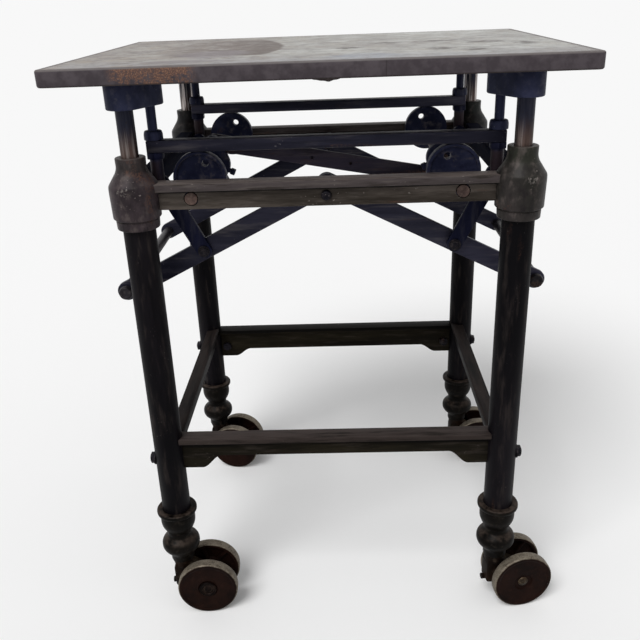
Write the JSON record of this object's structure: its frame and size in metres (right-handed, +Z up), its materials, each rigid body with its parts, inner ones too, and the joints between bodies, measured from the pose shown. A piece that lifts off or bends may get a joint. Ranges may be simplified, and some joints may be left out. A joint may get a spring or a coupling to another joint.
{
  "type": "adjustable printers table",
  "caption": "Printers' table of cast iron and pipe on twin-wheel casters: the plate top slides on guide rods, raised by levers with struts and trimmed by eccentrics on linked shafts.",
  "frame": {"origin": "centre of the bounding box, on the floor", "axes": "+Z up, -Y towards the pictured front, +X to the right, the way the casters trail, each with its own small turn"},
  "size_m": [0.7592, 0.585, 0.95],
  "materials": {
    "pipe": "dark worn paint on pipe",
    "cast_iron": "olive-brown weathered iron",
    "plate": "worn and stained plate",
    "rod": "rubbed round steel",
    "bar": "dark flat steel",
    "shaft": "brown turned steel",
    "link": "brown flat steel",
    "wheel": "reddish-brown iron with a worn tread"
  },
  "bodies": {
    "frame": {"leg_tube_front_left": "pipe", "leg_tube_front_right": "pipe", "leg_tube_rear_left": "pipe", "leg_tube_rear_right": "pipe", "head_frame_front": "cast_iron", "head_frame_rear": "cast_iron", "upper_side_rail_left": "cast_iron", "upper_side_rail_right": "cast_iron", "lower_rail_front": "cast_iron", "lower_rail_rear": "cast_iron", "lower_rail_left": "cast_iron", "lower_rail_right": "cast_iron", "foot_socket_front_left": "cast_iron", "foot_socket_front_right": "cast_iron", "foot_socket_rear_left": "cast_iron", "foot_socket_rear_right": "cast_iron"},
    "table": {"table_top": "plate", "corner_casting_front_left": "cast_iron", "corner_casting_front_right": "cast_iron", "corner_casting_rear_left": "cast_iron", "corner_casting_rear_right": "cast_iron", "guide_rod_front_left": "rod", "guide_rod_front_right": "rod", "guide_rod_rear_left": "rod", "guide_rod_rear_right": "rod", "lift_rod_front_left": "rod", "lift_rod_front_right": "rod", "lift_rod_rear_left": "rod", "lift_rod_rear_right": "rod", "lifting_rail_front": "bar", "lifting_rail_rear": "bar"},
    "lever_left": {"lever_bar_front_left": "bar", "lever_bar_rear_left": "bar", "handle_rod_left": "rod"},
    "struts_left": {"strut_front_left": "bar", "strut_rear_left": "bar"},
    "lever_right": {"lever_bar_front_right": "bar", "lever_bar_rear_right": "bar", "handle_rod_right": "rod"},
    "struts_right": {"strut_front_right": "bar", "strut_rear_right": "bar"},
    "rocker_left": {"rocker_shaft_left": "shaft", "eccentric_front_left": "bar", "eccentric_rear_left": "bar"},
    "rocker_right": {"rocker_shaft_right": "shaft", "eccentric_front_right": "bar", "eccentric_rear_right": "bar"},
    "sync_link": {"sync_link": "link"},
    "caster_front_left": {"caster_horn_front_left": "cast_iron"},
    "wheel_front_left_a": {"caster_wheel_front_left_a": "wheel"},
    "wheel_front_left_b": {"caster_wheel_front_left_b": "wheel"},
    "caster_front_right": {"caster_horn_front_right": "cast_iron"},
    "wheel_front_right_a": {"caster_wheel_front_right_a": "wheel"},
    "wheel_front_right_b": {"caster_wheel_front_right_b": "wheel"},
    "caster_rear_left": {"caster_horn_rear_left": "cast_iron"},
    "wheel_rear_left_a": {"caster_wheel_rear_left_a": "wheel"},
    "wheel_rear_left_b": {"caster_wheel_rear_left_b": "wheel"},
    "caster_rear_right": {"caster_horn_rear_right": "cast_iron"},
    "wheel_rear_right_a": {"caster_wheel_rear_right_a": "wheel"},
    "wheel_rear_right_b": {"caster_wheel_rear_right_b": "wheel"}
  },
  "joints": [
    {"name": "table_lift", "type": "slide", "parent": "frame", "child": "table", "axis": [0, 0, 1], "range_m": [0, 0.06]},
    {"name": "lever_left_pivot", "type": "hinge", "parent": "frame", "child": "lever_left", "pos_m": [-0.00264, 0, 0.7605], "axis": [0, 1, 0], "range_deg": [0, 14.4]},
    {"name": "struts_left_pivot", "type": "hinge", "parent": "lever_left", "child": "struts_left", "pos_m": [-0.19954, 0, 0.66104], "axis": [0, 1, 0], "range_deg": [-4.5, 0]},
    {"name": "lever_right_pivot", "type": "hinge", "parent": "frame", "child": "lever_right", "pos_m": [-0.00264, 0, 0.7605], "axis": [0, 1, 0], "range_deg": [-14.4, 0]},
    {"name": "struts_right_pivot", "type": "hinge", "parent": "lever_right", "child": "struts_right", "pos_m": [0.19426, 0, 0.66104], "axis": [0, 1, 0], "range_deg": [0, 4.5]},
    {"name": "rocker_left_turn", "type": "hinge", "parent": "frame", "child": "rocker_left", "pos_m": [-0.20014, 0, 0.7605], "axis": [0, 1, 0], "range_deg": [0, 28]},
    {"name": "rocker_right_turn", "type": "hinge", "parent": "frame", "child": "rocker_right", "pos_m": [0.19486, 0, 0.7605], "axis": [0, 1, 0], "range_deg": [-28, 0]},
    {"name": "sync_link_pin", "type": "hinge", "parent": "rocker_left", "child": "sync_link", "pos_m": [-0.20014, 0, 0.7965], "axis": [0, 1, 0], "range_deg": [-29.2, 0]},
    {"name": "caster_front_left_swivel", "type": "hinge", "parent": "frame", "child": "caster_front_left", "pos_m": [-0.28264, -0.2325, 0.102], "axis": [0, 0, 1], "continuous": true},
    {"name": "wheel_front_left_a_spin", "type": "hinge", "parent": "caster_front_left", "child": "wheel_front_left_a", "pos_m": [-0.2391, -0.23022, 0.0535], "axis": [-0.0523, 0.9986, 0], "continuous": true},
    {"name": "wheel_front_left_b_spin", "type": "hinge", "parent": "caster_front_left", "child": "wheel_front_left_b", "pos_m": [-0.2391, -0.23022, 0.0535], "axis": [-0.0523, 0.9986, 0], "continuous": true},
    {"name": "caster_front_right_swivel", "type": "hinge", "parent": "frame", "child": "caster_front_right", "pos_m": [0.27736, -0.2325, 0.102], "axis": [0, 0, 1], "continuous": true},
    {"name": "wheel_front_right_a_spin", "type": "hinge", "parent": "caster_front_right", "child": "wheel_front_right_a", "pos_m": [0.32016, -0.22418, 0.0535], "axis": [-0.1908, 0.9816, 0], "continuous": true},
    {"name": "wheel_front_right_b_spin", "type": "hinge", "parent": "caster_front_right", "child": "wheel_front_right_b", "pos_m": [0.32016, -0.22418, 0.0535], "axis": [-0.1908, 0.9816, 0], "continuous": true},
    {"name": "caster_rear_left_swivel", "type": "hinge", "parent": "frame", "child": "caster_rear_left", "pos_m": [-0.28264, 0.2325, 0.102], "axis": [0, 0, 1], "continuous": true},
    {"name": "wheel_rear_left_a_spin", "type": "hinge", "parent": "caster_rear_left", "child": "wheel_rear_left_a", "pos_m": [-0.23958, 0.22568, 0.0535], "axis": [0.1564, 0.9877, 0], "continuous": true},
    {"name": "wheel_rear_left_b_spin", "type": "hinge", "parent": "caster_rear_left", "child": "wheel_rear_left_b", "pos_m": [-0.23958, 0.22568, 0.0535], "axis": [0.1564, 0.9877, 0], "continuous": true},
    {"name": "caster_rear_right_swivel", "type": "hinge", "parent": "frame", "child": "caster_rear_right", "pos_m": [0.27736, 0.2325, 0.102], "axis": [0, 0, 1], "continuous": true},
    {"name": "wheel_rear_right_a_spin", "type": "hinge", "parent": "caster_rear_right", "child": "wheel_rear_right_a", "pos_m": [0.32079, 0.2363, 0.0535], "axis": [-0.0872, 0.9962, 0], "continuous": true},
    {"name": "wheel_rear_right_b_spin", "type": "hinge", "parent": "caster_rear_right", "child": "wheel_rear_right_b", "pos_m": [0.32079, 0.2363, 0.0535], "axis": [-0.0872, 0.9962, 0], "continuous": true}
  ],
  "couplings": [
    {"joint": "lever_left_pivot", "follows": "table_lift", "rad_per_m": 4.182},
    {"joint": "struts_left_pivot", "follows": "table_lift", "rad_per_m": -1.297},
    {"joint": "lever_right_pivot", "follows": "table_lift", "rad_per_m": -4.182},
    {"joint": "struts_right_pivot", "follows": "table_lift", "rad_per_m": 1.297},
    {"joint": "rocker_right_turn", "follows": "rocker_left_turn", "ratio": -1},
    {"joint": "sync_link_pin", "follows": "rocker_left_turn", "ratio": -1.038}
  ]
}
